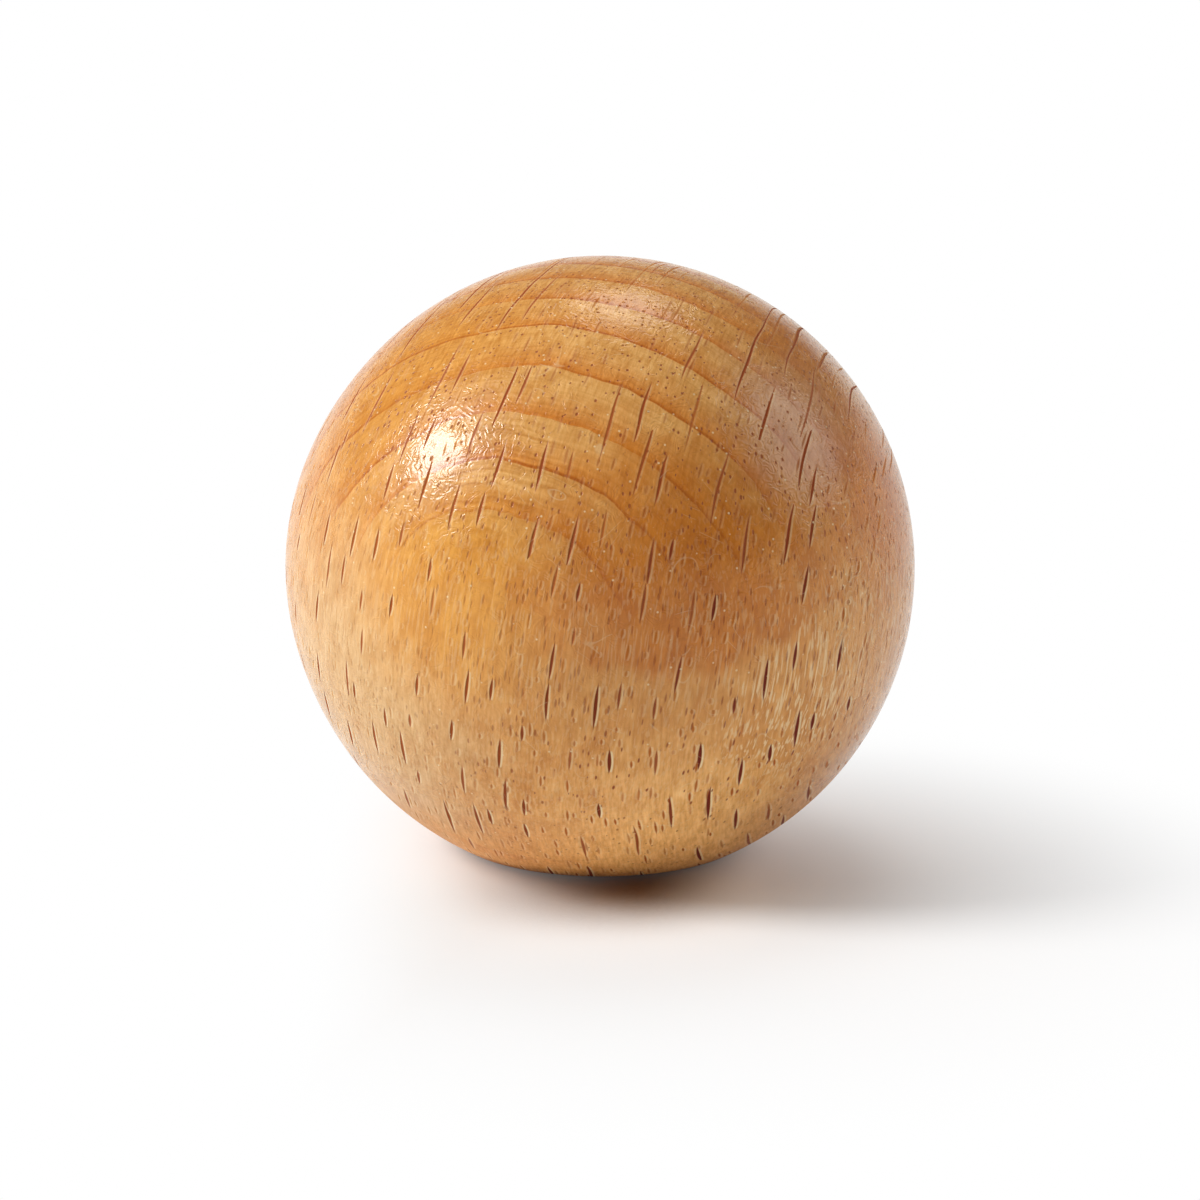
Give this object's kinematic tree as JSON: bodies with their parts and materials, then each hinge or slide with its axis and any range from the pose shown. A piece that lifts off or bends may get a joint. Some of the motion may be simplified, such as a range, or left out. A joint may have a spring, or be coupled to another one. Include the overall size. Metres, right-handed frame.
{
  "type": "ball cabinet knob",
  "caption": "Turned wooden ball knob with a flat seat and a threaded metal insert in its back for a machine screw.",
  "frame": {"origin": "centre of the flat seat, in the plane that meets the door or drawer front", "axes": "+Z along the ball's turning axis, away from the door; the mounting screw comes in from -Z"},
  "size_m": [0.03, 0.03, 0.0283],
  "materials": {
    "lacquered_wood": "clear lacquer over turned, sanded solid wood, satin gloss",
    "zinc_plated_steel": "bright zinc plate, turned"
  },
  "bodies": {
    "root": {"wooden_ball": "lacquered_wood", "threaded_insert": "zinc_plated_steel"}
  },
  "joints": []
}
